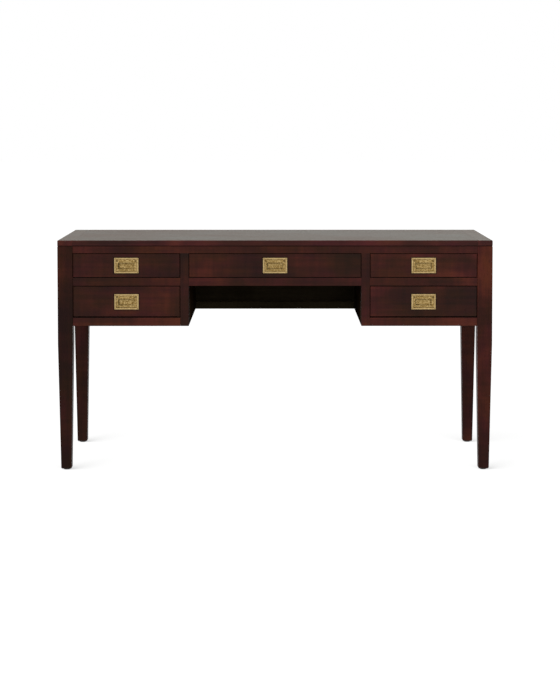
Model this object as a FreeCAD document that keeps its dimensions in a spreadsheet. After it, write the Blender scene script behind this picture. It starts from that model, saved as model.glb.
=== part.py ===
"""Campaign desk: five inset drawers round a kneehole, tapered legs, flush brass pulls.

Millimetres. +Z is up, +X is to the right of someone who faces the drawers, and the
drawers open towards -Y. The origin is on the floor, under the middle of the top.
"""
import FreeCAD, Part
import Sketcher
import os
import re

# Driving dimensions
SIZES = {
    # Whole desk
    "desk_width": 1450,
    "desk_depth": 600,
    "desk_height": 772,
    "top_thickness": 20,
    "top_chamfer": 1.5,
    "top_under_chamfer": 2.5,
    # Legs and feet
    "leg_side": 50,
    "taper_drop": 60,
    "foot_side": 35,
    "foot_chamfer": 3,
    "glide_height": 4,
    "glide_chamfer": 1.5,
    "glide_diameter": 22,
    "glide_pin_diameter": 6,
    "glide_pin_length": 18,
    # Drawer openings and the rails and posts between them
    "side_opening_width": 359,
    "upper_opening_height": 82,
    "lower_opening_height": 106.5,
    "top_rail_height": 23,
    "mid_rail_height": 27,
    "bottom_rail_height": 28,
    "post_width": 28,
    "face_setback": 2,
    # Panels and back
    "side_panel_thickness": 20,
    "inner_panel_thickness": 18,
    "back_rail_thickness": 20,
    "back_bottom_rail_height": 28,
    "back_top_rail_height": 40,
    "back_rail_chamfer": 3,
    "back_panel_thickness": 10,
    # Joinery
    "tenon_length": 18,
    "tenon_shoulder": 5,
    "panel_groove_depth": 8,
    "post_tenon_share": 0.4,
    "post_top_tenon_share": 0.5,
    # Drawers
    "reveal": 2,
    "lower_drawer_reveal": 3.8,
    "running_clearance": 0.3,
    "drawer_front_thickness": 20,
    "drawer_front_arris": 0.8,
    "drawer_side_thickness": 12,
    "drawer_side_drop": 6,
    "drawer_back_thickness": 12,
    "drawer_back_drop": 4,
    "drawer_back_overhang": 8,
    "drawer_back_dado": 4,
    "drawer_bottom_thickness": 6,
    "drawer_bottom_raise": 8,
    "drawer_bottom_groove": 5,
    "dovetail_length": 14,
    "dovetail_margin": 3,
    "dovetail_neck_share": 0.26,
    "dovetail_end_share": 0.36,
    "guide_height": 20,
    "stop_length": 28,
    # Pulls
    "plate_width": 81,
    "plate_height": 51.5,
    "plate_thickness": 2,
    "plate_bevel": 0.8,
    "plate_rim": 6.5,
    "pan_depth": 11,
    "pan_wall": 1.5,
    "bail_thickness": 4,
    "bail_sink": 0.5,
    "bail_gap": 0.5,
    "bail_arm_width": 7,
    "bail_bar_height": 10.5,
    "bail_grip_height": 7,
    "bail_notch_width": 6,
    "bail_notch_height": 5.5,
    "trunnion_diameter": 2.5,
    "trunnion_clearance": 0.05,
    "trunnion_end_gap": 0.1,
    "screw_inset": 4,
    "screw_head_diameter": 5,
    "screw_head_height": 1.5,
    "screw_shank_diameter": 2.6,
    "screw_tip_length": 2.5,
    "screw_length": 12,
    "screw_slot_width": 0.8,
    "screw_slot_depth": 0.7,
    # Every cut runs this far past the face that it opens
    "overrun": 1,
}

# Places that follow from the driving dimensions
PLACES = {
    "half_width": "desk_width / 2",
    "leg_inner": "half_width - leg_side",
    "leg_axis_x": "half_width - leg_side / 2",
    "leg_axis_y": "desk_depth / 2 - leg_side / 2",
    "front_face": "-desk_depth / 2",
    "back_face": "desk_depth / 2",
    "rail_front": "front_face + face_setback",
    "rail_back": "front_face + leg_side",
    "back_leg_front": "back_face - leg_side",
    "back_rail_back": "back_face - face_setback",
    "back_rail_front": "back_rail_back - back_rail_thickness",
    "back_panel_front": "back_rail_front + (back_rail_thickness - back_panel_thickness) / 2",
    "back_panel_back": "back_panel_front + back_panel_thickness",
    "top_under": "desk_height - top_thickness",
    "top_arris": "desk_height - top_chamfer",
    "top_under_arris": "top_under + top_under_chamfer",
    "upper_top": "top_under - top_rail_height",
    "upper_bottom": "upper_top - upper_opening_height",
    "lower_top": "upper_bottom - mid_rail_height",
    "lower_bottom": "lower_top - lower_opening_height",
    "case_bottom": "lower_bottom - bottom_rail_height",
    "taper_top": "case_bottom - taper_drop",
    "back_bottom_rail_top": "case_bottom + back_bottom_rail_height",
    "back_top_rail_bottom": "top_under - back_top_rail_height",
    "post_outer": "leg_inner - side_opening_width",
    "post_inner": "post_outer - post_width",
    "side_outer": "half_width - face_setback",
    "side_inner": "side_outer - side_panel_thickness",
    "inner_panel_outer": "post_inner + inner_panel_thickness",
    "side_column": "leg_inner - side_opening_width / 2",
    "post_tenon": "post_width * post_tenon_share",
    "drawer_front_back": "rail_front + drawer_front_thickness",
    "drawer_arris_rear": "rail_front + drawer_front_arris",
    "drawer_end": "back_leg_front - stop_length - running_clearance",
    "drawer_back_rear": "drawer_end - drawer_back_overhang",
    "drawer_back_face": "drawer_back_rear - drawer_back_thickness",
    "plate_front": "rail_front - plate_thickness",
    "pan_rear": "rail_front + pan_depth",
    "pan_half_width": "plate_width / 2 - plate_rim",
    "pan_half_height": "plate_height / 2 - plate_rim",
    "bail_front": "plate_front + bail_sink",
    "bail_half_width": "pan_half_width - bail_gap",
    "bail_half_height": "pan_half_height - bail_gap",
    "trunnion_y": "bail_front + bail_thickness / 2",
    "trunnion_reach": "pan_half_width + pan_wall - trunnion_end_gap",
}

LEFT, RIGHT = -1, 1
FRONT, BACK = -1, 1
DOWN, UP = -1, 1
TAIL_COUNT = 3
TURN_TO_X = FreeCAD.Rotation(FreeCAD.Vector(0, 1, 0), 90)
TURN_TO_Y = FreeCAD.Rotation(FreeCAD.Vector(1, 0, 0), -90)
TURN_Y_UP = FreeCAD.Rotation(FreeCAD.Vector(1, 0, 0), 90)
WORD = re.compile(r"[a-z][a-z_]*")

doc = FreeCAD.newDocument("campaign_desk")
nodes = []


# The sheets

def fill_sheet(name, cells, write):
    """Make a sheet with a name and a value on each row, the value's alias being its name."""
    sheet = doc.addObject("Spreadsheet::Sheet", name)
    for row, (alias, value) in enumerate(cells.items(), start=1):
        sheet.set(f"A{row}", alias)
        sheet.set(f"B{row}", write(value))
        sheet.setAlias(f"B{row}", alias)
    doc.recompute()


def place_formula(text):
    """A place's cell names sizes on the other sheet and places on its own."""
    return "=" + WORD.sub(lambda word: ("Sizes." if word[0] in SIZES else "") + word[0], text)


def sheet_name(word):
    """The full name of a size or place, for use outside the sheets."""
    if word[0] in SIZES:
        return "Sizes." + word[0]
    return "Places." + word[0]


def bind(piece, prop, text):
    """Tie a property to a formula in sizes and places."""
    piece.setExpression(prop, WORD.sub(sheet_name, text))


fill_sheet("Sizes", SIZES, str)
fill_sheet("Places", PLACES, place_formula)


# Limits along an axis: pairs of formulas

def minus(text):
    return f"-({text})"


def mirrored(side, low, high):
    """Limits given for the right or the back, put on the side asked for."""
    if side > 0:
        return low, high
    return minus(high), minus(low)


def about(middle, half):
    """Limits the same way to both sides of a middle."""
    return f"{middle} - ({half})", f"{middle} + ({half})"


def shrunk(limits, margin):
    """Limits drawn in by a margin at both ends."""
    return f"{limits[0]} + {margin}", f"{limits[1]} - {margin}"


# Basic solids

def put(piece, start):
    """Place a solid's own origin at a point given as three formulas."""
    for axis, text in zip("xyz", start):
        bind(piece, f"Placement.Base.{axis}", text)


def block(name, x, y, z):
    """A square-cornered board between two limits on each axis."""
    board = doc.addObject("Part::Box", name)
    for size, limits in (("Length", x), ("Width", y), ("Height", z)):
        bind(board, size, f"({limits[1]}) - ({limits[0]})")
    put(board, (x[0], y[0], z[0]))
    return board


def wedge(name, limits):
    """A block that tapers along its own Y axis, with each limit tied to a formula."""
    solid = doc.addObject("Part::Wedge", name)
    for prop, text in limits.items():
        bind(solid, prop, text)
    return solid


def taper_back(name, x, y, z, x_end, z_end):
    """A block with section x, z at the first y and x_end, z_end at the last y."""
    return wedge(name, {
        "Xmin": x[0], "Xmax": x[1], "Ymin": y[0], "Ymax": y[1], "Zmin": z[0], "Zmax": z[1],
        "X2min": x_end[0], "X2max": x_end[1], "Z2min": z_end[0], "Z2max": z_end[1]})


def taper_up(name, x, y, z, x_end, y_end):
    """A block with section x, y at the first z and x_end, y_end at the last z."""
    solid = wedge(name, {
        "Xmin": x[0], "Xmax": x[1], "Ymin": z[0], "Ymax": z[1],
        "Zmin": minus(y[1]), "Zmax": minus(y[0]), "X2min": x_end[0], "X2max": x_end[1],
        "Z2min": minus(y_end[1]), "Z2max": minus(y_end[0])})
    solid.Placement.Rotation = TURN_Y_UP
    return solid


def rod_across(name, x, y, z, radius):
    """A round rod along X between two limits."""
    rod = doc.addObject("Part::Cylinder", name)
    bind(rod, "Radius", radius)
    bind(rod, "Height", f"({x[1]}) - ({x[0]})")
    rod.Placement.Rotation = TURN_TO_X
    put(rod, (x[0], y, z))
    return rod


def turned(name, profile, start, rotation):
    """A turned piece: a profile of radius and height formulas, from axis to axis, spun about Z."""
    body = doc.addObject("PartDesign::Body", name)
    plane = next(item for item in body.Origin.OriginFeatures if item.Role == "XZ_Plane")
    sketch = body.newObject("Sketcher::SketchObject", f"{name}_profile")
    sketch.AttachmentSupport = [(plane, "")]
    sketch.MapMode = "FlatFace"
    count = len(profile)
    guess = [FreeCAD.Vector(min(place, 1), place, 0) for place in range(count)]
    for place in range(count):
        sketch.addGeometry(Part.LineSegment(guess[place], guess[(place + 1) % count]), False)
    for place in range(count):
        sketch.addConstraint(Sketcher.Constraint("Coincident", place, 2, (place + 1) % count, 1))
    for place, (radius, height) in enumerate(profile):
        for kind, text in (("DistanceX", radius), ("DistanceY", height)):
            row = sketch.addConstraint(Sketcher.Constraint(kind, -1, 1, place, 1, 0.0))
            bind(sketch, f"Constraints[{row}]", text)
    spin = body.newObject("PartDesign::Revolution", f"{name}_spin")
    spin.Profile = sketch
    spin.ReferenceAxis = (sketch, ["V_Axis"])
    body.Tip = spin
    body.Placement.Rotation = rotation
    put(body, start)
    return body


# Joining and cutting

def joined(name, pieces):
    """One solid made of pieces that touch."""
    whole = doc.addObject("Part::MultiFuse", name)
    whole.Shapes = pieces
    whole.Refine = True
    return whole


def group(name, pieces):
    """Separate solids that share one name."""
    whole = doc.addObject("Part::Compound", name)
    whole.Links = pieces
    return whole


def cut(name, base, tools):
    """A solid with the room for other pieces cut out of it."""
    result = doc.addObject("Part::Cut", name)
    result.Base = base
    result.Tool = tools[0] if len(tools) == 1 else group(f"{name}_room", tools)
    result.Refine = True
    return result


def keep(label, piece):
    """Count a finished piece as a sub-part of the desk."""
    piece.Label = label
    nodes.append(piece)


def side_word(side):
    return "right" if side > 0 else "left"


# Legs and glides

def make_legs(mortises):
    """Square legs that taper on all four sides from a little below the case, each on a pinned glide."""
    glides = []
    for depth in (FRONT, BACK):
        for side in (LEFT, RIGHT):
            name = f"leg_{'back' if depth > 0 else 'front'}_{side_word(side)}"
            middle_x = f"{side} * leg_axis_x"
            middle_y = f"{depth} * leg_axis_y"
            square = [about(middle, "leg_side / 2") for middle in (middle_x, middle_y)]
            foot = [about(middle, "foot_side / 2") for middle in (middle_x, middle_y)]
            tip = [shrunk(limits, "foot_chamfer") for limits in foot]
            foot_top = "glide_height + foot_chamfer"
            blank = joined(f"{name}_blank", [
                block(f"{name}_square", square[0], square[1], ("taper_top", "top_under")),
                taper_up(f"{name}_taper", foot[0], foot[1], (foot_top, "taper_top"), *square),
                taper_up(f"{name}_tip", tip[0], tip[1], ("glide_height", foot_top), *foot),
            ])
            glide = turned(f"{name}_glide", [
                ("0", "0"),
                ("glide_diameter / 2 - glide_chamfer", "0"),
                ("glide_diameter / 2", "glide_chamfer"),
                ("glide_diameter / 2", "glide_height"),
                ("glide_pin_diameter / 2", "glide_height"),
                ("glide_pin_diameter / 2", "glide_height + glide_pin_length"),
                ("0", "glide_height + glide_pin_length"),
            ], (middle_x, middle_y, "0"), FreeCAD.Rotation())
            glides.append(glide)
            keep(name, cut(name, blank, [glide] + mortises))
    keep("foot_glides", group("foot_glides", glides))


# Front rails and posts

RAIL_DEPTH = ("rail_front", "rail_back")


def tenon(name, x, y, z):
    """A tenon along X, drawn in from the faces of its rail."""
    return block(name, x, shrunk(y, "tenon_shoulder"), shrunk(z, "tenon_shoulder"))


def rail(name, x, y, z, left_reach, right_reach):
    """A rail along X with a tenon at each end; gives the rail and its tenons."""
    tenons = [
        tenon(f"{name}_tenon_left", (f"{x[0]} - {left_reach}", x[0]), y, z),
        tenon(f"{name}_tenon_right", (x[1], f"{x[1]} + {right_reach}"), y, z),
    ]
    return joined(f"{name}_joined", [block(f"{name}_board", x, y, z)] + tenons), tenons


def make_face_frame(tongues):
    """Posts beside the kneehole and the rails round the drawers; gives what the legs must take."""
    room_in_legs = []
    room_in_posts = {LEFT: [], RIGHT: []}
    post_tops = []
    middle, middle_tenons = rail("center_rail", about("0", "post_inner"), RAIL_DEPTH,
                                 ("lower_top", "upper_bottom"), "post_tenon", "post_tenon")
    keep("center_rail", middle)
    room_in_posts[LEFT].append(middle_tenons[0])
    room_in_posts[RIGHT].append(middle_tenons[1])
    for side in (LEFT, RIGHT):
        heights = (("mid_rail", ("lower_top", "upper_bottom")),
                   ("bottom_rail", ("case_bottom", "lower_bottom")))
        reaches = ("post_tenon", "tenon_length")[::side]
        for word, height in heights:
            name = f"{word}_{side_word(side)}"
            span = mirrored(side, "post_outer", "leg_inner")
            board, tenons = rail(name, span, RAIL_DEPTH, height, *reaches)
            keep(name, board)
            in_post, in_leg = tenons[::side]
            room_in_posts[side].append(in_post)
            room_in_legs.append(in_leg)
    for side in (LEFT, RIGHT):
        name = f"post_{side_word(side)}"
        width = mirrored(side, "post_inner", "post_outer")
        top_tenon = block(f"{name}_tenon", shrunk(width, "tenon_shoulder"),
                          shrunk(RAIL_DEPTH, "tenon_shoulder"),
                          ("upper_top", "upper_top + top_rail_height * post_top_tenon_share"))
        blank = joined(f"{name}_blank", [
            block(f"{name}_board", width, RAIL_DEPTH, ("case_bottom", "upper_top")), top_tenon])
        keep(name, cut(name, blank, room_in_posts[side] + [tongues[side]]))
        post_tops.append(top_tenon)
    top_board, top_tenons = rail("front_top_rail", about("0", "leg_inner"), RAIL_DEPTH,
                                 ("upper_top", "top_under"), "tenon_length", "tenon_length")
    keep("front_top_rail", cut("front_top_rail", top_board, post_tops))
    return room_in_legs + top_tenons


# Panels and back

def make_inner_panels():
    """Walls of the kneehole, tongued into the posts and the back rails; gives both sets of tongues."""
    tongues = {}
    heels = []
    for side in (LEFT, RIGHT):
        name = f"inner_panel_{side_word(side)}"
        width = mirrored(side, "post_inner", "inner_panel_outer")
        height = ("case_bottom", "top_under")
        board = block(f"{name}_board", width, ("rail_back", "back_rail_front"), height)
        tongues[side] = block(f"{name}_tongue", shrunk(width, "tenon_shoulder"),
                              ("rail_back - tenon_shoulder", "rail_back"),
                              shrunk(("case_bottom", "upper_top"), "tenon_shoulder"))
        heel = block(f"{name}_heel", shrunk(width, "tenon_shoulder"),
                     ("back_rail_front", "back_panel_front"), shrunk(height, "tenon_shoulder"))
        keep(name, joined(name, [board, tongues[side], heel]))
        heels.append(heel)
    return tongues, heels


def make_side_panels():
    """Outer walls of the drawer stacks, tongued into the legs; gives their tongues."""
    tongues = []
    for side in (LEFT, RIGHT):
        name = f"side_panel_{side_word(side)}"
        width = mirrored(side, "side_inner", "side_outer")
        height = ("case_bottom", "top_under")
        ends = [("rail_back - tenon_length", "rail_back"),
                ("back_leg_front", "back_leg_front + tenon_length")]
        own = [block(f"{name}_tongue_{place}", shrunk(width, "tenon_shoulder"), span,
                     shrunk(height, "tenon_shoulder")) for place, span in enumerate(ends)]
        board = block(f"{name}_board", width, ("rail_back", "back_leg_front"), height)
        keep(name, joined(name, [board] + own))
        tongues += own
    return tongues


def make_back(heels):
    """A thin panel in a groove all round, between two rails; gives what the back legs must take."""
    panel = block("back_panel", about("0", "leg_inner + panel_groove_depth"),
                  ("back_panel_front", "back_panel_back"),
                  ("back_bottom_rail_top - panel_groove_depth",
                   "back_top_rail_bottom + panel_groove_depth"))
    keep("back_panel", panel)
    depth = ("back_rail_front", "back_rail_back")
    span = about("0", "leg_inner")
    chamfer = wedge("back_bottom_rail_bevel", {
        "Xmin": span[0], "Xmax": span[1], "X2min": span[0], "X2max": span[1],
        "Ymin": "back_rail_front", "Ymax": "back_rail_front + back_rail_chamfer",
        "Zmin": "back_bottom_rail_top - back_rail_chamfer", "Zmax": "back_bottom_rail_top + overrun",
        "Z2min": "back_bottom_rail_top", "Z2max": "back_bottom_rail_top + overrun"})
    heights = (("back_bottom_rail", ("case_bottom", "back_bottom_rail_top"), [chamfer]),
               ("back_top_rail", ("back_top_rail_bottom", "top_under"), []))
    room_in_legs = [panel]
    for name, height, bevels in heights:
        board, tenons = rail(name, span, depth, height, "tenon_length", "tenon_length")
        keep(name, cut(name, board, [panel] + heels + bevels))
        room_in_legs += tenons
    return room_in_legs


# Top

def make_top():
    """A centre board tongued into an end board over each pair of legs, with chamfered arrises."""
    depth = about("0", "back_face")
    depth_above = shrunk(depth, "top_chamfer")
    depth_under = shrunk(depth, "top_under_chamfer")
    under = ("top_under", "top_under_arris")
    edge = ("top_under_arris", "top_arris")
    upper = ("top_arris", "desk_height")
    middle = about("0", "leg_inner")
    tongues = {}
    for side in (LEFT, RIGHT):
        tongues[side] = block(f"top_tongue_{side_word(side)}",
                              mirrored(side, "leg_inner", "leg_inner + tenon_length"),
                              shrunk(depth, "tenon_shoulder"),
                              shrunk(("top_under", "desk_height"), "tenon_shoulder"))
    keep("top_panel", joined("top_panel", [
        taper_up("top_panel_under", middle, depth_under, under, middle, depth),
        block("top_panel_board", middle, depth, edge),
        taper_up("top_panel_arris", middle, depth, upper, middle, depth_above),
        tongues[LEFT], tongues[RIGHT]]))
    for side in (LEFT, RIGHT):
        name = f"top_end_{side_word(side)}"
        width = mirrored(side, "leg_inner", "half_width")
        width_above = mirrored(side, "leg_inner", "half_width - top_chamfer")
        width_under = mirrored(side, "leg_inner", "half_width - top_under_chamfer")
        board = joined(f"{name}_blank", [
            taper_up(f"{name}_under", width_under, depth_under, under, width, depth),
            block(f"{name}_board", width, depth, edge),
            taper_up(f"{name}_arris", width, depth, upper, width_above, depth_above)])
        keep(name, cut(name, board, [tongues[side]]))


# Pulls

def make_screws(name, middle, height):
    """Four slotted countersunk screws in the corners of a plate; gives their solids without slots."""
    whole = []
    slotted = []
    for across in (LEFT, RIGHT):
        for up in (DOWN, UP):
            label = f"{name}_screw_{len(whole)}"
            screw_x = f"{middle} + {across} * (plate_width / 2 - screw_inset)"
            screw_z = f"{height} + {up} * (plate_height / 2 - screw_inset)"
            screw = turned(label, [
                ("0", "0"),
                ("screw_head_diameter / 2", "0"),
                ("screw_shank_diameter / 2", "screw_head_height"),
                ("screw_shank_diameter / 2", "screw_length - screw_tip_length"),
                ("0", "screw_length"),
            ], (screw_x, "plate_front", screw_z), TURN_TO_Y)
            slot = block(f"{label}_slot", about(screw_x, "screw_head_diameter / 2 + overrun"),
                         ("plate_front - overrun", "plate_front + screw_slot_depth"),
                         about(screw_z, "screw_slot_width / 2"))
            whole.append(screw)
            slotted.append(cut(f"{label}_slotted", screw, [slot]))
    keep(f"{name}_pull_screws", group(f"{name}_pull_screws", slotted))
    return whole


def make_pull(name, middle, height):
    """A flush pull: a bevelled plate with a pan behind it, and a loop that hangs in the pan.

    Gives what the drawer front must be cut out for.
    """
    width = about(middle, "plate_width / 2")
    tall = about(height, "plate_height / 2")
    bevel_rear = "plate_front + plate_bevel"
    pan = block(f"{name}_pan", about(middle, "pan_half_width + pan_wall"), ("rail_front", "pan_rear"),
                about(height, "pan_half_height + pan_wall"))
    plate = joined(f"{name}_plate_blank", [
        block(f"{name}_flange", width, (bevel_rear, "rail_front"), tall),
        taper_back(f"{name}_bevel", shrunk(width, "plate_bevel"), ("plate_front", bevel_rear),
                   shrunk(tall, "plate_bevel"), width, tall),
        pan])
    hollow = block(f"{name}_hollow", about(middle, "pan_half_width"),
                   ("plate_front - overrun", "pan_rear - pan_wall"), about(height, "pan_half_height"))
    pivot = f"{height} + bail_half_height - bail_thickness / 2"
    bore = rod_across(f"{name}_bore", about(middle, "pan_half_width + pan_wall"), "trunnion_y", pivot,
                      "trunnion_diameter / 2 + trunnion_clearance")
    screws = make_screws(name, middle, height)
    keep(f"{name}_pull_plate", cut(f"{name}_pull_plate", plate, [hollow, bore] + screws))
    make_bail(name, middle, height, pivot)
    return [pan] + screws


def make_bail(name, middle, height, pivot):
    """A flat loop with round upper and lower edges, notched at its upper corners for two trunnions."""
    span = about(middle, "bail_half_width")
    lower_edge = f"{height} - bail_half_height + bail_thickness / 2"
    loop = joined(f"{name}_bail_blank", [
        block(f"{name}_bail_flat", span, ("bail_front", "bail_front + bail_thickness"),
              (lower_edge, pivot)),
        rod_across(f"{name}_bail_top", span, "trunnion_y", pivot, "bail_thickness / 2"),
        rod_across(f"{name}_bail_grip", span, "trunnion_y", lower_edge, "bail_thickness / 2")])
    top_edge = f"{height} + bail_half_height"
    through = ("bail_front - overrun", "bail_front + bail_thickness + overrun")
    room = [block(f"{name}_bail_window", about(middle, "bail_half_width - bail_arm_width"), through,
                  (f"{height} - bail_half_height + bail_grip_height", f"{top_edge} - bail_bar_height"))]
    notch_height = (f"{top_edge} - bail_notch_height", f"{top_edge} + overrun")
    for side in (LEFT, RIGHT):
        limits = mirrored(side, "bail_half_width - bail_notch_width", "bail_half_width + overrun")
        notch_width = [f"{middle} + {limit}" for limit in limits]
        room.append(block(f"{name}_bail_notch_{side_word(side)}", notch_width, through, notch_height))
    trunnions = rod_across(f"{name}_trunnions", about(middle, "trunnion_reach"), "trunnion_y", pivot,
                           "trunnion_diameter / 2")
    keep(f"{name}_bail", joined(f"{name}_bail", [cut(f"{name}_bail_loop", loop, room), trunnions]))


# Drawers

def dovetails(name, width, low, high):
    """The tails of one drawer side, wider at the front than where they leave the side."""
    zone = f"({high} - ({low}) - 2 * dovetail_margin)"
    tails = []
    for place in range(TAIL_COUNT):
        middle = f"{low} + dovetail_margin + {zone} * {2 * place + 1} / {2 * TAIL_COUNT}"
        wide = about(middle, f"{zone} / {TAIL_COUNT} * dovetail_end_share")
        narrow = about(middle, f"{zone} / {TAIL_COUNT} * dovetail_neck_share")
        depth = ("drawer_front_back - dovetail_length", "drawer_front_back")
        tails.append(taper_back(f"{name}_tail_{place}", width, depth, wide, width, narrow))
    return tails


def make_drawer(name, middle, opening_half, opening_bottom, opening_height, gap_below):
    """A dovetailed drawer that fits its opening, with a flush pull in the middle of its front."""
    half = f"{opening_half} - reveal"
    inside = f"{half} - drawer_side_thickness"
    base = f"{opening_bottom} + running_clearance"
    front_low = f"{opening_bottom} + {gap_below}"
    front_high = f"{opening_bottom} + {opening_height} - reveal"
    side_top = f"{front_high} - drawer_side_drop"
    floor = f"{base} + drawer_bottom_raise"
    floor_top = f"{floor} + drawer_bottom_thickness"

    bottom = block(f"{name}_bottom", about(middle, f"{inside} + drawer_bottom_groove"),
                   ("drawer_front_back - drawer_bottom_groove", "drawer_back_rear"), (floor, floor_top))
    keep(f"{name}_bottom", bottom)
    back = block(f"{name}_back", about(middle, f"{inside} + drawer_back_dado"),
                 ("drawer_back_face", "drawer_back_rear"), (floor_top, f"{side_top} - drawer_back_drop"))
    keep(f"{name}_back", back)

    sides = []
    sockets = []
    for side in (LEFT, RIGHT):
        word = f"{name}_side_{side_word(side)}"
        width = [f"{middle} + {limit}" for limit in mirrored(side, inside, half)]
        tails = dovetails(word, width, front_low, side_top)
        board = block(f"{word}_board", width, ("drawer_front_back", "drawer_end"), (base, side_top))
        sides.append(cut(word, joined(f"{word}_blank", [board] + tails), [bottom, back]))
        sockets += tails
    keep(f"{name}_sides", group(f"{name}_sides", sides))

    wide = about(middle, half)
    tall = (front_low, front_high)
    front = joined(f"{name}_front_blank", [
        block(f"{name}_front_board", wide, ("drawer_arris_rear", "drawer_front_back"), tall),
        taper_back(f"{name}_front_arris", shrunk(wide, "drawer_front_arris"),
                   ("rail_front", "drawer_arris_rear"), shrunk(tall, "drawer_front_arris"), wide, tall)])
    room = make_pull(name, middle, f"{opening_bottom} + {opening_height} / 2")
    keep(f"{name}_front", cut(f"{name}_front", front, room + sockets + [bottom]))


# What the drawers run on

STRIP_DEPTH = ("rail_back", "back_leg_front")
STOP_DEPTH = ("back_leg_front - stop_length", "back_leg_front")


def make_drawer_ways():
    """Runners under the drawer sides, kickers over the upper drawers, guides beside and stops behind."""
    side_outside = "leg_inner - reveal"
    stack_inside = "post_outer + reveal"
    center_outside = "post_inner - reveal"
    tiers = (("lower", "case_bottom", "lower_bottom"), ("upper", "lower_top", "upper_bottom"))
    strips = []
    guides = []
    for side in (LEFT, RIGHT):
        word = side_word(side)
        outer = mirrored(side, f"{side_outside} - drawer_side_thickness", "side_inner")
        inner = mirrored(side, "inner_panel_outer", f"{stack_inside} + drawer_side_thickness")
        center = mirrored(side, f"{center_outside} - drawer_side_thickness", "post_inner")
        outer_gap = mirrored(side, f"{side_outside} + running_clearance", "side_inner")
        inner_gap = mirrored(side, "inner_panel_outer", f"{stack_inside} - running_clearance")
        outer_stop = mirrored(side, f"{side_outside} - drawer_side_thickness",
                              f"{side_outside} + running_clearance")
        inner_stop = mirrored(side, f"{stack_inside} - running_clearance",
                              f"{stack_inside} + drawer_side_thickness")
        for tier, low, high in tiers:
            over = (high, f"{high} + guide_height")
            strips += [block(f"runner_{tier}_outer_{word}", outer, STRIP_DEPTH, (low, high)),
                       block(f"runner_{tier}_inner_{word}", inner, STRIP_DEPTH, (low, high))]
            guides += [block(f"guide_{tier}_outer_{word}", outer_gap, STRIP_DEPTH, over),
                       block(f"guide_{tier}_inner_{word}", inner_gap, STRIP_DEPTH, over),
                       block(f"stop_{tier}_outer_{word}", outer_stop, STOP_DEPTH, over),
                       block(f"stop_{tier}_inner_{word}", inner_stop, STOP_DEPTH, over)]
        strips.append(block(f"runner_center_{word}", center, STRIP_DEPTH, ("lower_top", "upper_bottom")))
        guides.append(block(f"stop_center_{word}", center, STOP_DEPTH,
                            ("upper_bottom", "upper_bottom + guide_height")))
        for place, width in (("outer", outer), ("inner", inner), ("center", center)):
            strips.append(block(f"kicker_{place}_{word}", width, STRIP_DEPTH, ("upper_top", "top_under")))
    keep("drawer_runners", group("drawer_runners", strips))
    keep("drawer_guides", group("drawer_guides", guides))


# The desk

make_top()
post_tongues, wall_heels = make_inner_panels()
leg_room = make_face_frame(post_tongues)
leg_room += make_side_panels()
leg_room += make_back(wall_heels)
make_legs(leg_room)
make_drawer_ways()
for side in (LEFT, RIGHT):
    column = f"{side} * side_column"
    stack = f"drawer_{side_word(side)}"
    make_drawer(f"{stack}_upper", column, "side_opening_width / 2", "upper_bottom", "upper_opening_height",
                "reveal")
    make_drawer(f"{stack}_lower", column, "side_opening_width / 2", "lower_bottom", "lower_opening_height",
                "lower_drawer_reveal")
make_drawer("drawer_center", "0", "post_inner", "upper_bottom", "upper_opening_height", "reveal")
doc.recompute()

for item in doc.Objects:
    if "Invalid" in item.State or "Error" in item.State:
        raise RuntimeError(f"{item.Name} did not build: {item.State}")
for piece in nodes:
    if piece.Shape.isNull() or not piece.Shape.isValid():
        raise RuntimeError(f"{piece.Label} has no valid shape")

os.makedirs("parts", exist_ok=True)
for piece in nodes:
    piece.Shape.exportStep(f"parts/{piece.Label}.step")
print(f"{len(nodes)} sub-parts written")
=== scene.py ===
"""Looks of the campaign desk: stained mahogany, aged brass pulls and pale drawer insides in soft light."""
import math
from dataclasses import dataclass, replace

import bpy
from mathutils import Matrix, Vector


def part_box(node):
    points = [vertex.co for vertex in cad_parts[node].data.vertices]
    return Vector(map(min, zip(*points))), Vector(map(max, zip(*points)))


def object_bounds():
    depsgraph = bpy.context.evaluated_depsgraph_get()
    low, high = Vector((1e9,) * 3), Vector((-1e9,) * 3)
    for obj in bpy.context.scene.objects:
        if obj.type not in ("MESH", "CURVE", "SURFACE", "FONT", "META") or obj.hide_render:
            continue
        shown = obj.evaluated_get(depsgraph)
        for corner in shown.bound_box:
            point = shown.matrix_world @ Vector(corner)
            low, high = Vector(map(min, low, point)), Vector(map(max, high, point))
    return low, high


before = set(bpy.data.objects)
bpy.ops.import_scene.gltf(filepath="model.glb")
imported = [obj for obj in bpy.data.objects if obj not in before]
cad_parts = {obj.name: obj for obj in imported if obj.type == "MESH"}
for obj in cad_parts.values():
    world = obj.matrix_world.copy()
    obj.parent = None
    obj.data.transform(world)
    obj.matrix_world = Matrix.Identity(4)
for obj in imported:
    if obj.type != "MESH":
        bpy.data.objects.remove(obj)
cad_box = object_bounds()
scene = bpy.context.scene
MM = 0.001
ALONG_X, ALONG_Y, ALONG_Z = 0, 1, 2
# A Mix node has its sockets once for each type of data, and these are the ones for colours
MIX_FIRST, MIX_SECOND, MIX_RESULT = 6, 7, 2

# Camera: metres, degrees and the photograph's pixels
PHOTO_HEIGHT_PX = 700
VIEW_LOWERED_PX = 117
CAMERA_PLACE = (-0.0041, -6.8013, 1.1976)
CAMERA_PITCH = 3.528
CAMERA_YAW = 0.181
CAMERA_LENS_MM = 100.66

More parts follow.
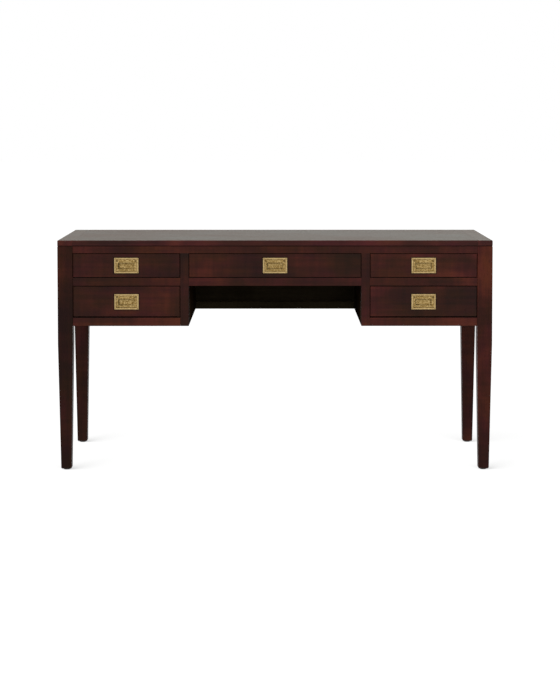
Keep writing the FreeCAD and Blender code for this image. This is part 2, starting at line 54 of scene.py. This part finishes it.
# Light: angles in degrees, power in watts, places and sizes in metres
CAMERA_RAYS = ("Is Camera Ray",)
SEEN_RAYS = (*CAMERA_RAYS, "Is Glossy Ray", "Is Transmission Ray")
WHITE = (1.0, 1.0, 1.0)
STUDIO_TINT = (0.985, 1.0, 0.943)
AMBIENT = 0.424
KEY_LEFT = 31
KEY_UP = 42
KEY_SPREAD = 24
KEY_STRENGTH = 2.44
FILL_PLACE = Vector((3.0, -3.6, 2.3))
FILL_TARGET = Vector((0, 0, 0.55))
FILL_SIZE = 2.4
FILL_POWER = 60

# Floor: half its width in metres, how white and how grey it is where it is seen, and the light it throws
FLOOR_HALF = 40
FLOOR_GLOW = 1.0
FLOOR_SHADE = 0.07
FLOOR_BOUNCE = 0.12
# The shadow close behind a foot: its reach in metres, how deep it is, and the light's height in degrees
CONTACT_REACH = 0.40
CONTACT_DEPTH = 0.72
CONTACT_UP = 15
CONTACT_SAMPLES = 16


@dataclass(frozen=True)
class Noise:
    """A noise texture: its scales per metre, and how it is broken up."""
    scales: tuple
    detail: float = 2.0
    roughness: float = 0.5
    distortion: float = 0.0


# The values that most of a noise lies between, and a narrower range for sharper contrast
NOISE_RANGE = (0.3, 0.7)
NOISE_CORE = (0.35, 0.65)

# The wood's figure, with a scale along the grain and one across it, and how far a seed shifts it
CLOUD = Noise((4.5, 6.0), detail=3, roughness=0.55, distortion=0.4)
STREAK = Noise((1.6, 60), detail=4, roughness=0.6)
CURL = Noise((75, 6))
FIBRE = Noise((14, 700), detail=3, roughness=0.6)
PORES = Noise((70, 1500), detail=1)
DRIFT = Noise((9, 18))
WOOD_STEPS = (1.37, 2.11, 3.73)
# The tone of a plain board, how far fibres change it, and how far clouds change the gloss
MIDDLE_TONE = 0.5
FIBRE_TONE = 0.04
GLOSS_DRIFT = 0.025
# Open pores: the noise that makes one, the share of the colour left in it, and how much rougher it is
PORE_RANGE = (0.60, 0.70)
PORE_SHADE = 0.62
PORE_ROUGHNESS = 0.12
# Relief of the grain: the fibres' height next to the pores' depth, and how deep the pores are
FIBRE_HEIGHT = 0.5
GRAIN_DEPTH = 0.12 * MM
GRAIN_STRENGTH = 0.5


@dataclass(frozen=True)
class Stain:
    """A finish of wood.

    Stops are its colours, from the darkest figure to the lightest, and wear is the colour of rubbed edges.
    Cloud, streak and curl say how strongly each kind of figure shows. Hues are two tints that the stain
    drifts between. Face is the axis along which a face with other colours looks, and those colours.
    Rough_left is how much rougher the desk's left end is than its right. Shaded_sides and shaded_under are
    the share of the colour left on faces turned away from the front and on faces turned down: painted shade
    on faces that are also matt.
    """
    stops: tuple
    wear: tuple
    roughness: float
    specular: float
    cloud: float
    streak: float
    curl: float
    hues: tuple = ()
    face: tuple = ()
    rough_left: float = 0.0
    shaded_sides: float = 1.0
    shaded_under: float = 1.0


MAHOGANY = Stain(
    stops=((0.20, (0.0130, 0.0048, 0.0031)), (0.45, (0.0260, 0.0075, 0.0049)),
           (0.62, (0.0410, 0.0102, 0.0068)), (0.85, (0.0760, 0.0175, 0.0100))),
    wear=(0.085, 0.026, 0.014),
    roughness=0.44,
    specular=0.09,
    cloud=0.27,
    streak=0.09,
    curl=0.05,
    hues=((1.0, 0.88, 1.18), (1.0, 1.10, 0.84)),
)
# The top, whose upper face is browner than its edges and whose underside is matt, with painted shade
TOP = replace(
    MAHOGANY,
    roughness=0.364,
    specular=0.106,
    streak=0.14,
    curl=0.02,
    hues=((1.0, 0.80, 1.38), (1.0, 1.00, 1.08)),
    face=("Z", ((0.20, (0.0150, 0.0080, 0.0042)), (0.90, (0.0410, 0.0152, 0.0075)))),
    rough_left=0.03,
    shaded_under=0.30,
)
# Rails, posts and drawer fronts, polished only on the face that shows, with painted shade on their other
# faces
FACED = replace(MAHOGANY, shaded_sides=0.25, shaded_under=0.30)
# Legs, with a thinner coat of lacquer
LEG = replace(MAHOGANY, specular=0.07)
# Matt brown stain at the back of the kneehole, redder on the face that shows from behind; the lighter brown
# on the kneehole side is partly painted light, standing in for light that the dim kneehole lacks
BACK = Stain(
    stops=((0.25, (0.034, 0.0255, 0.0140)), (0.80, (0.078, 0.0600, 0.0350))),
    wear=(0.085, 0.062, 0.036),
    roughness=0.85,
    specular=0.02,
    cloud=0.30,
    streak=0.15,
    curl=0.03,
    face=("Y", ((0.20, (0.0160, 0.0070, 0.0046)), (0.85, (0.0620, 0.0190, 0.0110)))),
)
# Redder matt stain on the walls of the kneehole
WALL = Stain(
    stops=((0.25, (0.018, 0.0105, 0.0056)), (0.80, (0.052, 0.0300, 0.0160))),
    wear=(0.060, 0.036, 0.020),
    roughness=0.85,
    specular=0.0,
    cloud=0.30,
    streak=0.15,
    curl=0.03,
)
# Pale oiled wood of the drawer boxes
PALE = Stain(
    stops=((0.20, (0.150, 0.082, 0.038)), (0.50, (0.235, 0.140, 0.068)), (0.85, (0.330, 0.210, 0.112))),
    wear=(0.36, 0.24, 0.14),
    roughness=0.58,
    specular=0.22,
    cloud=0.30,
    streak=0.25,
    curl=0.03,
)
# The part of a face's normal along its axis, where the face's own finish begins and where it is complete
FACE_ON = (0.6, 0.95)
# Faces turned away from the front and faces turned down get painted shade and a matt roughness
SHADED_SIDE_ON = (-0.85, -0.5)
SHADED_UNDER_ON = (-0.2, -0.6)
DULL_ROUGHNESS = 0.95
# Painted shade round a pull's plate: how wide it is, and the share of the colour left in it
PLATE_SHADOW_WIDTH = 4.5 * MM
PLATE_SHADOW_SHARE = 0.15

# Sanded arrises: their width, steps and least angle in degrees, once seams are welded and flats merged
ARRIS = 0.9 * MM
ARRIS_STEPS = 2
ARRIS_ANGLE = 30
WELD_GAP = 0.02 * MM
FLAT_ANGLE = 1
# Rubbed edges: how far the wear reaches, the share of it that shows on wood, and how nearly the rounded
# normal agrees with the true one on an edge and on a flat
WOOD_RUB = 1.6 * MM
BRASS_RUB = 0.9 * MM
WORN_SHARE = (0.15, 0.6)
EDGE_ROUND, EDGE_FLAT = 0.80, 0.97
EDGE_SAMPLES = 4

# Brass: colours from the low spots to the high ones, the one that rubbing and the rim's painted highlight
# leave, and the cast surface
BRASS = ((0.0, (0.149, 0.0865, 0.022)), (0.45, (0.288, 0.187, 0.0625)), (1.0, (0.526, 0.382, 0.177)))
BRASS_WORN_AND_LIT = (0.557, 0.413, 0.211)
BRASS_BRIGHT_SHARE = 0.7
BRASS_ROUGHNESS = (0.42, 0.30)
BRASS_STEPS = (2.3, 1.7, 0.9)
BRASS_TONE = 0.45
BLOTCH = Noise((55, 55, 55), detail=3, roughness=0.6)
BLOTCH_TONE = 0.15
SPECKLE = Noise((280, 280, 280), detail=5, roughness=0.72)
SPECKLE_TONE = 0.85
SCRATCH = Noise((120, 900, 2200), detail=1)
SCRATCH_RANGE = (0.6, 0.75)
SCRATCH_ROUGHNESS = 0.1
CAST_DEPTH = 0.10 * MM
CAST_STRENGTH = 0.6
# The plate's rim, lighter as rubbed brass and as a painted highlight: how far in it starts, how far in it
# is at its brightest, and how bright that is
RIM_START = 5.0 * MM
RIM_FULL = 3.5 * MM
RIM_SHARE = 0.7
# Painted shade in the pull's gaps and under its loop's bar, partly dirt: the share of the colour left in
# it, and how thin it is on the lower and right sides, away from the key light
PULL_SHADE_SHARE = 0.30
PULL_SHADE_LEAST = 0.08
# Its lines: how far they lie outside the outline of a piece, and half their width
PAN_LINE = (-6.5 * MM, 1.2 * MM)
LOOP_LINE = (0.0, 1.0 * MM)
WINDOW_LINE = (-0.3 * MM, 3.2 * MM)
# The pull's loop: how far its arms, top bar and grip reach in from its outline to its window
BAIL_ARM = 8.9 * MM
BAIL_BAR = 10.5 * MM
BAIL_GRIP = 7.0 * MM
# What sets the loop's and the screws' patterns apart from the plate's, and how much browner the screws are
BAIL_SEED = 0.5
SCREW_SEED = 0.7
SCREW_PATINA = 0.2

# Steel of the glides: colours from the dark spots to the scuffs
STEEL = ((0.3, (0.035, 0.033, 0.031)), (0.7, (0.115, 0.110, 0.104)))
STEEL_ROUGHNESS = (0.38, 0.62)
SCUFF = Noise((240, 240, 500), detail=3, roughness=0.6)
SCUFF_DEPTH = 0.05 * MM


def span(box, axis):
    """The middle of a box along an axis, and half its length there."""
    low, high = (corner[axis] for corner in box)
    return (low + high) / 2, (high - low) / 2


class Nodes:
    """A node tree, with a short method for each kind of node that the floor, world and finishes share."""

    def __init__(self, tree):
        self.tree = tree

    def add(self, kind, **settings):
        node = self.tree.nodes.new(kind)
        for key, value in settings.items():
            setattr(node, key, value)
        return node

    def feed(self, socket, value):
        """Give a socket a constant, or the output of another node."""
        if isinstance(value, bpy.types.NodeSocket):
            self.tree.links.new(value, socket)
        else:
            socket.default_value = value

    def math(self, operation, first, second=0.0, clamp=False):
        node = self.add("ShaderNodeMath", operation=operation, use_clamp=clamp)
        self.feed(node.inputs[0], first)
        self.feed(node.inputs[1], second)
        return node.outputs["Value"]

    def spread(self, value, low, high, to_low=0.0, to_high=1.0):
        """Map one range to another, held at its ends."""
        node = self.add("ShaderNodeMapRange")
        for key, entry in (("Value", value), ("From Min", low), ("From Max", high),
                           ("To Min", to_low), ("To Max", to_high)):
            self.feed(node.inputs[key], entry)
        return node.outputs["Result"]

    def mix(self, factor, first, second):
        """One colour, giving way to another as the factor goes from 0 to 1."""
        node = self.add("ShaderNodeMix", data_type="RGBA")
        self.feed(node.inputs["Factor"], factor)
        for socket, color in ((MIX_FIRST, first), (MIX_SECOND, second)):
            linked = isinstance(color, bpy.types.NodeSocket)
            self.feed(node.inputs[socket], color if linked else (*color, 1))
        return node.outputs[MIX_RESULT]

    def rays(self, kinds):
        """1 for rays of the named kinds, and 0 for the others."""
        path = self.add("ShaderNodeLightPath")
        total = path.outputs[kinds[0]]
        for kind in kinds[1:]:
            total = self.math("ADD", total, path.outputs[kind], clamp=True)
        return total


class Finish(Nodes):
    """The nodes of one material."""

    def __init__(self, name):
        self.material = bpy.data.materials.new(name)
        self.material.use_nodes = True
        super().__init__(self.material.node_tree)
        self.shader = self.tree.nodes["Principled BSDF"]
        coordinates = self.add("ShaderNodeTexCoord")
        self.place = coordinates.outputs["Object"]
        self.place_on = self.parts_of(self.place)
        self.facing = self.parts_of(coordinates.outputs["Normal"])

    def parts_of(self, vector):
        """The x, y and z of a vector."""
        node = self.add("ShaderNodeSeparateXYZ")
        self.feed(node.inputs["Vector"], vector)
        return node.outputs

    def noise(self, kind, shift=(0, 0, 0)):
        """A noise through the whole desk, shifted from where it would lie."""
        stretched = self.add("ShaderNodeMapping")
        self.feed(stretched.inputs["Vector"], self.place)
        stretched.inputs["Scale"].default_value = kind.scales
        stretched.inputs["Location"].default_value = shift
        node = self.add("ShaderNodeTexNoise")
        self.feed(node.inputs["Vector"], stretched.outputs["Vector"])
        node.inputs["Scale"].default_value = 1
        node.inputs["Detail"].default_value = kind.detail
        node.inputs["Roughness"].default_value = kind.roughness
        node.inputs["Distortion"].default_value = kind.distortion
        return node.outputs["Fac"]

    def figured(self, value, figures):
        """A value that figures, each with a strength, raise and lower."""
        for figure, strength in figures:
            value = self.math("ADD", value, self.spread(figure, *NOISE_RANGE, -strength, strength))
        return value

    def ramp(self, factor, stops):
        node = self.add("ShaderNodeValToRGB")
        self.feed(node.inputs["Fac"], factor)
        elements = node.color_ramp.elements
        while len(elements) < len(stops):
            elements.new(1.0)
        for element, (position, color) in zip(elements, stops):
            element.position = position
            element.color = (*color, 1)
        return node.outputs["Color"]

    def tinted(self, color, hue):
        """A colour times a hue."""
        node = self.add("ShaderNodeVectorMath", operation="MULTIPLY")
        self.feed(node.inputs[0], color)
        node.inputs[1].default_value = hue
        return node.outputs["Vector"]

    def shaded(self, color, mask, share):
        """A colour, down to a share of itself where the mask is 1."""
        node = self.add("ShaderNodeVectorMath", operation="SCALE")
        self.feed(node.inputs[0], color)
        self.feed(node.inputs["Scale"], self.spread(mask, 0, 1, 1, share))
        return node.outputs["Vector"]

    def edge_mask(self, reach):
        """1 along the arrises and 0 on the flats."""
        bevel = self.add("ShaderNodeBevel", samples=EDGE_SAMPLES)
        bevel.inputs["Radius"].default_value = reach
        geometry = self.add("ShaderNodeNewGeometry")
        node = self.add("ShaderNodeVectorMath", operation="DOT_PRODUCT")
        self.feed(node.inputs[0], bevel.outputs["Normal"])
        self.feed(node.inputs[1], geometry.outputs["Normal"])
        return self.spread(node.outputs["Value"], EDGE_FLAT, EDGE_ROUND)

    def outside(self, box):
        """How far a place is outside a box, seen from the front; negative inside it."""
        gaps = []
        for axis in (ALONG_X, ALONG_Z):
            middle, half = span(box, axis)
            away = self.math("ABSOLUTE", self.math("SUBTRACT", self.place_on[axis], middle))
            gaps.append(self.math("SUBTRACT", away, half))
        return self.math("MAXIMUM", *gaps)

    def upper_left(self, box):
        """How high a place is in a box less how far right it is, each from -1 to 1, seen from the front."""
        shares = []
        for axis in (ALONG_Z, ALONG_X):
            middle, half = span(box, axis)
            shares.append(self.math("DIVIDE", self.math("SUBTRACT", self.place_on[axis], middle), half))
        return self.math("SUBTRACT", *shares)

    def line_at(self, value, middle, half_width):
        """1 where a value is at the middle, and 0 from half a width away."""
        off = self.math("ABSOLUTE", self.math("SUBTRACT", value, middle))
        return self.spread(off, half_width, 0)

    def bump(self, height, depth, strength=1.0):
        node = self.add("ShaderNodeBump")
        node.inputs["Distance"].default_value = depth
        node.inputs["Strength"].default_value = strength
        self.feed(node.inputs["Height"], height)
        self.feed(self.shader.inputs["Normal"], node.outputs["Normal"])

    def finish(self, color, roughness, specular=None, metallic=0.0):
        self.feed(self.shader.inputs["Base Color"], color)
        self.feed(self.shader.inputs["Roughness"], roughness)
        self.shader.inputs["Metallic"].default_value = metallic
        if specular is not None:
            self.shader.inputs["Specular IOR Level"].default_value = specular
        return self.material


# Wood

def along(axis, figure):
    """A figure's noise, with the grain along an axis."""
    lengthwise, crosswise = figure.scales
    return replace(figure, scales=[lengthwise if place == axis else crosswise for place in range(3)])


def wood(node, stain, axis, seed, warmth=0.0, lean=0.0, plate=None):
    """Stained wood: cloudy figure, long streaks, curl across the grain, fibres, open pores, rubbed edges.

    Warmth reddens a whole board, and lean reddens one end of it more than the other. A plate's box gets a
    dark line of painted shade round it.
    """
    tree = Finish(node)
    shift = [seed * step for step in WOOD_STEPS]
    cloud, streak, curl, fibre, pores = (
        tree.noise(along(axis, figure), shift) for figure in (CLOUD, STREAK, CURL, FIBRE, PORES))
    open_pore = tree.spread(pores, *PORE_RANGE)

    near, far = (corner[axis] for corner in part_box(node))
    middle = MIDDLE_TONE + warmth
    tone = tree.spread(tree.place_on[axis], near, far, middle - lean / 2, middle + lean / 2)
    tone = tree.figured(tone, ((cloud, stain.cloud), (streak, stain.streak), (curl, stain.curl),
                               (fibre, FIBRE_TONE)))
    color = tree.ramp(tone, stain.stops)
    if stain.hues:
        drift = tree.spread(tree.noise(along(axis, DRIFT), shift), *NOISE_CORE)
        color = tree.mix(drift, *(tree.tinted(color, hue) for hue in stain.hues))
    if stain.face:
        side, stops = stain.face
        color = tree.mix(tree.spread(tree.facing[side], *FACE_ON), color, tree.ramp(tone, stops))
    color = tree.shaded(color, open_pore, PORE_SHADE)
    worn = tree.spread(cloud, *NOISE_CORE, *WORN_SHARE)
    color = tree.mix(tree.math("MULTIPLY", tree.edge_mask(WOOD_RUB), worn), color, stain.wear)

    roughness = tree.figured(stain.roughness, [(cloud, GLOSS_DRIFT)])
    if stain.rough_left:
        left, right = (corner[ALONG_X] for corner in cad_box)
        extra = tree.spread(tree.place_on[ALONG_X], left, right, stain.rough_left, 0)
        roughness = tree.math("ADD", roughness, extra)
    roughness = tree.math("ADD", roughness, tree.math("MULTIPLY", open_pore, PORE_ROUGHNESS))
    # Painted shade, with a matt roughness, on faces turned away from the front and on faces turned down
    shaded_faces = ((stain.shaded_sides, "Y", SHADED_SIDE_ON), (stain.shaded_under, "Z", SHADED_UNDER_ON))
    for share, side, limits in shaded_faces:
        if share < 1:
            matt_shaded = tree.spread(tree.facing[side], *limits)
            color = tree.shaded(color, matt_shaded, share)
            roughness = tree.math("MAXIMUM", roughness, tree.math("MULTIPLY", matt_shaded, DULL_ROUGHNESS))
    if plate:
        # Painted shade round a pull's plate
        color = tree.shaded(color, tree.spread(tree.outside(plate), PLATE_SHADOW_WIDTH, 0), PLATE_SHADOW_SHARE)

    relief = tree.math("SUBTRACT", tree.math("MULTIPLY", fibre, FIBRE_HEIGHT), open_pore)
    tree.bump(relief, GRAIN_DEPTH, GRAIN_STRENGTH)
    return tree.finish(color, roughness, stain.specular)


# Metal

def brass(node, seed, patina=0.0, rim=False, shade_lines=()):
    """Aged brass: yellow where hands rub it, browner in the low spots, with a fine cast surface.

    A rim is made bright, partly as rubbed brass and partly as a painted highlight along the plate's edge.
    Shade_lines is a list of boxes, each with a dark line of painted shade, partly dirt, along its outline,
    strongest on the upper and left sides, towards the key light.
    """
    tree = Finish(node)
    shift = [seed * step for step in BRASS_STEPS]
    blotch, speckle, scratch = (tree.noise(kind, shift) for kind in (BLOTCH, SPECKLE, SCRATCH))
    tone = tree.figured(BRASS_TONE - patina, ((blotch, BLOTCH_TONE), (speckle, SPECKLE_TONE)))
    color = tree.ramp(tone, BRASS)
    rubbed = tree.edge_mask(BRASS_RUB)
    # A rim adds a painted highlight along the plate's edge to the rubbing
    if rim:
        bright = tree.spread(tree.outside(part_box(node)), -RIM_START, -RIM_FULL, 0, RIM_SHARE)
        rubbed = tree.math("MAXIMUM", rubbed, bright)
    color = tree.mix(tree.math("MULTIPLY", rubbed, BRASS_BRIGHT_SHARE), color, BRASS_WORN_AND_LIT)
    # Painted shade along the pull's gaps and under the loop's bar, partly dirt, strongest towards the key
    # light
    for box, (middle, half_width) in shade_lines:
        strength = tree.spread(tree.upper_left(box), -1, 1, PULL_SHADE_LEAST, 1)
        line = tree.line_at(tree.outside(box), middle, half_width)
        color = tree.shaded(color, tree.math("MULTIPLY", line, strength), PULL_SHADE_SHARE)
    roughness = tree.spread(speckle, *NOISE_RANGE, *BRASS_ROUGHNESS)
    roughness = tree.math("ADD", roughness, tree.spread(scratch, *SCRATCH_RANGE, 0, SCRATCH_ROUGHNESS))
    tree.bump(speckle, CAST_DEPTH, CAST_STRENGTH)
    return tree.finish(color, roughness, metallic=1.0)


def steel(node):
    """Dull blackened steel with paler scuffs."""
    tree = Finish(node)
    scuff = tree.noise(SCUFF)
    roughness = tree.spread(scuff, *NOISE_RANGE, *STEEL_ROUGHNESS)
    tree.bump(scuff, SCUFF_DEPTH)
    return tree.finish(tree.ramp(scuff, STEEL), roughness, metallic=1.0)


# Which finish each board gets: the grain's axis, how red it is, and how much redder its far end is

WOODS = {
    "top_panel": (TOP, ALONG_X, 0.12, -0.10),
    "top_end_left": (TOP, ALONG_Y, 0.34, 0.0),
    "top_end_right": (TOP, ALONG_Y, 0.25, 0.0),
    # The front legs' lean makes them darker towards the floor: painted shade
    "leg_front_left": (LEG, ALONG_Z, -0.16, 0.08),
    "leg_front_right": (LEG, ALONG_Z, 0.11, 0.54),
    "leg_back_left": (LEG, ALONG_Z, -0.04, 0.0),
    "leg_back_right": (MAHOGANY, ALONG_Z, 0.12, 0.0),
    "front_top_rail": (FACED, ALONG_X, 0.06, -0.08),
    "mid_rail_left": (FACED, ALONG_X, 0.02, 0.0),
    "mid_rail_right": (FACED, ALONG_X, 0.17, 0.0),
    "center_rail": (FACED, ALONG_X, 0.05, 0.0),
    "bottom_rail_left": (FACED, ALONG_X, 0.24, 0.0),
    "bottom_rail_right": (FACED, ALONG_X, 0.16, 0.0),
    "post_left": (FACED, ALONG_Z, -0.18, 0.0),
    "post_right": (FACED, ALONG_Z, 0.13, 0.0),
    "side_panel_left": (MAHOGANY, ALONG_Y, 0.0, 0.0),
    "side_panel_right": (MAHOGANY, ALONG_Y, 0.0, 0.0),
    "inner_panel_left": (WALL, ALONG_Y, 0.0, 0.0),
    "inner_panel_right": (WALL, ALONG_Y, 0.0, 0.0),
    "back_panel": (BACK, ALONG_X, 0.0, 0.0),
    # The back's bottom rail is lighter than the panel above it: painted light, as if more light reached it
    "back_bottom_rail": (BACK, ALONG_X, 0.2, 0.0),
    "back_top_rail": (BACK, ALONG_X, 0.0, 0.0),
    "drawer_runners": (PALE, ALONG_Y, -0.1, 0.0),
    "drawer_guides": (PALE, ALONG_Y, -0.1, 0.0),
}
# How red each drawer's front is, and how much redder its right end is
DRAWERS = {
    "drawer_left_upper": (0.07, -0.05),
    "drawer_left_lower": (0.0, 0.14),
    "drawer_center": (-0.08, -0.32),
    "drawer_right_upper": (0.13, 0.14),
    "drawer_right_lower": (0.02, -0.28),
}
# The grain's axis in the boards behind a front, and the pieces that show at the front
BOX_PARTS = {"sides": ALONG_Y, "back": ALONG_X, "bottom": ALONG_X}
FRONT_PARTS = ("front", "pull_plate", "bail", "pull_screws")


def dress(node, material):
    """Put a finish on a CAD node, over the one that it came with."""
    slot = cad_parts[node].material_slots[0]
    slot.link = "OBJECT"
    slot.material = material


def ease_arrises(node):
    """Round a board's sharp edges a little, as sanding does."""
    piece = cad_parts[node]
    weld = piece.modifiers.new("weld", "WELD")
    weld.merge_threshold = WELD_GAP
    flats = piece.modifiers.new("flats", "DECIMATE")
    flats.decimate_type = "DISSOLVE"
    flats.angle_limit = math.radians(FLAT_ANGLE)
    arris = piece.modifiers.new("arris", "BEVEL")
    arris.width = ARRIS
    arris.segments = ARRIS_STEPS
    arris.limit_method = "ANGLE"
    arris.angle_limit = math.radians(ARRIS_ANGLE)
    arris.harden_normals = True


def dress_woodwork():
    for seed, (node, (stain, axis, warmth, lean)) in enumerate(WOODS.items(), start=1):
        dress(node, wood(node, stain, axis, seed, warmth, lean))
        ease_arrises(node)


def window_of(bail):
    """The box of the opening in a pull's loop."""
    low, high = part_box(bail)
    return low + Vector((BAIL_ARM, 0, BAIL_GRIP)), high - Vector((BAIL_ARM, 0, BAIL_BAR))


def dress_drawers():
    for seed, (drawer, (warmth, lean)) in enumerate(DRAWERS.items(), start=len(WOODS) + 1):
        front, plate, bail, screws = (f"{drawer}_{part}" for part in FRONT_PARTS)
        dress(front, wood(front, FACED, ALONG_X, seed, warmth, lean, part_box(plate)))
        for part, axis in BOX_PARTS.items():
            node = f"{drawer}_{part}"
            dress(node, wood(node, PALE, axis, seed))
            ease_arrises(node)
        # The loop's window, along whose edge the pull gets a painted shadow of the bar and arms
        window = window_of(bail), WINDOW_LINE
        dress(plate, brass(plate, seed, rim=True, shade_lines=[(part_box(plate), PAN_LINE), window]))
        dress(bail, brass(bail, seed + BAIL_SEED, shade_lines=[(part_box(bail), LOOP_LINE), window]))
        dress(screws, brass(screws, seed + SCREW_SEED, patina=SCREW_PATINA))


# Camera, light and floor

def make_camera():
    camera = bpy.data.objects.new("camera", bpy.data.cameras.new("camera"))
    scene.collection.objects.link(camera)
    camera.location = CAMERA_PLACE
    camera.rotation_euler = (math.radians(90 - CAMERA_PITCH), 0, math.radians(-CAMERA_YAW))
    camera.data.lens = CAMERA_LENS_MM
    camera.data.shift_y = -VIEW_LOWERED_PX / PHOTO_HEIGHT_PX
    camera.data.clip_end = 2 * FLOOR_HALF
    scene.camera = camera


def make_world():
    """A studio that looks white to the camera and lights the desk softly, with a slight tint."""
    world = bpy.data.worlds.new("studio")
    world.use_nodes = True
    scene.world = world
    nodes = Nodes(world.node_tree)
    background = world.node_tree.nodes["Background"]
    nodes.feed(background.inputs["Color"], nodes.mix(nodes.rays(CAMERA_RAYS), STUDIO_TINT, WHITE))
    nodes.feed(background.inputs["Strength"], nodes.spread(nodes.rays(SEEN_RAYS), 0, 1, AMBIENT, 1))


def add_lamp(name, kind, aim):
    """A lamp that shines along an aim."""
    lamp = bpy.data.objects.new(name, bpy.data.lights.new(name, kind))
    scene.collection.objects.link(lamp)
    lamp.rotation_euler = aim.to_track_quat("-Z", "Y").to_euler()
    return lamp


def key_aim(height):
    """The way that light shines from the key's side, at an angle above the floor."""
    left, up = math.radians(KEY_LEFT), math.radians(height)
    return Vector((math.sin(left) * math.cos(up), math.cos(left) * math.cos(up), -math.sin(up)))


def make_lamps():
    """A high key light from the left and a large soft fill from the right."""
    key = add_lamp("key", "SUN", key_aim(KEY_UP))
    key.data.energy = KEY_STRENGTH
    key.data.angle = math.radians(KEY_SPREAD)
    fill = add_lamp("fill", "AREA", FILL_TARGET - FILL_PLACE)
    fill.location = FILL_PLACE
    fill.data.size = FILL_SIZE
    fill.data.energy = FILL_POWER


def contact_shade(nodes):
    """1 on open floor, and less close behind a foot as the key light sees it."""
    contact = nodes.add("ShaderNodeAmbientOcclusion", samples=CONTACT_SAMPLES)
    contact.inputs["Distance"].default_value = CONTACT_REACH
    towards_key = nodes.add("ShaderNodeCombineXYZ")
    for socket, part in zip(towards_key.inputs, -key_aim(CONTACT_UP)):
        socket.default_value = part
    nodes.feed(contact.inputs["Normal"], towards_key.outputs["Vector"])
    return nodes.math("POWER", contact.outputs["AO"], CONTACT_DEPTH)


def grey_surface(nodes, level):
    """A matt surface of one grey."""
    surface = nodes.add("ShaderNodeBsdfDiffuse")
    surface.inputs["Color"].default_value = (level, level, level, 1)
    return surface.outputs["BSDF"]


def floor_finish():
    """White, with the feet's shadows, where it is seen, and dark where it lights the desk from below."""
    material = bpy.data.materials.new("floor")
    material.use_nodes = True
    nodes = Nodes(material.node_tree)
    nodes.tree.nodes.remove(nodes.tree.nodes["Principled BSDF"])
    glow = nodes.add("ShaderNodeEmission")
    nodes.feed(glow.inputs["Strength"], nodes.math("MULTIPLY", contact_shade(nodes), FLOOR_GLOW))
    seen = nodes.add("ShaderNodeAddShader")
    nodes.feed(seen.inputs[0], glow.outputs["Emission"])
    nodes.feed(seen.inputs[1], grey_surface(nodes, FLOOR_SHADE))
    choice = nodes.add("ShaderNodeMixShader")
    nodes.feed(choice.inputs["Fac"], nodes.rays(SEEN_RAYS))
    nodes.feed(choice.inputs[1], grey_surface(nodes, FLOOR_BOUNCE))
    nodes.feed(choice.inputs[2], seen.outputs["Shader"])
    nodes.feed(nodes.tree.nodes["Material Output"].inputs["Surface"], choice.outputs["Shader"])
    return material


def make_floor():
    mesh = bpy.data.meshes.new("floor")
    corners = [(x * FLOOR_HALF, y * FLOOR_HALF, 0) for x, y in ((-1, -1), (1, -1), (1, 1), (-1, 1))]
    mesh.from_pydata(corners, [], [(0, 1, 2, 3)])
    mesh.materials.append(floor_finish())
    floor = bpy.data.objects.new("floor", mesh)
    scene.collection.objects.link(floor)


scene.view_settings.view_transform = "Standard"
make_camera()
make_world()
make_lamps()
make_floor()
dress_woodwork()
dress_drawers()
dress("foot_glides", steel("foot_glides"))
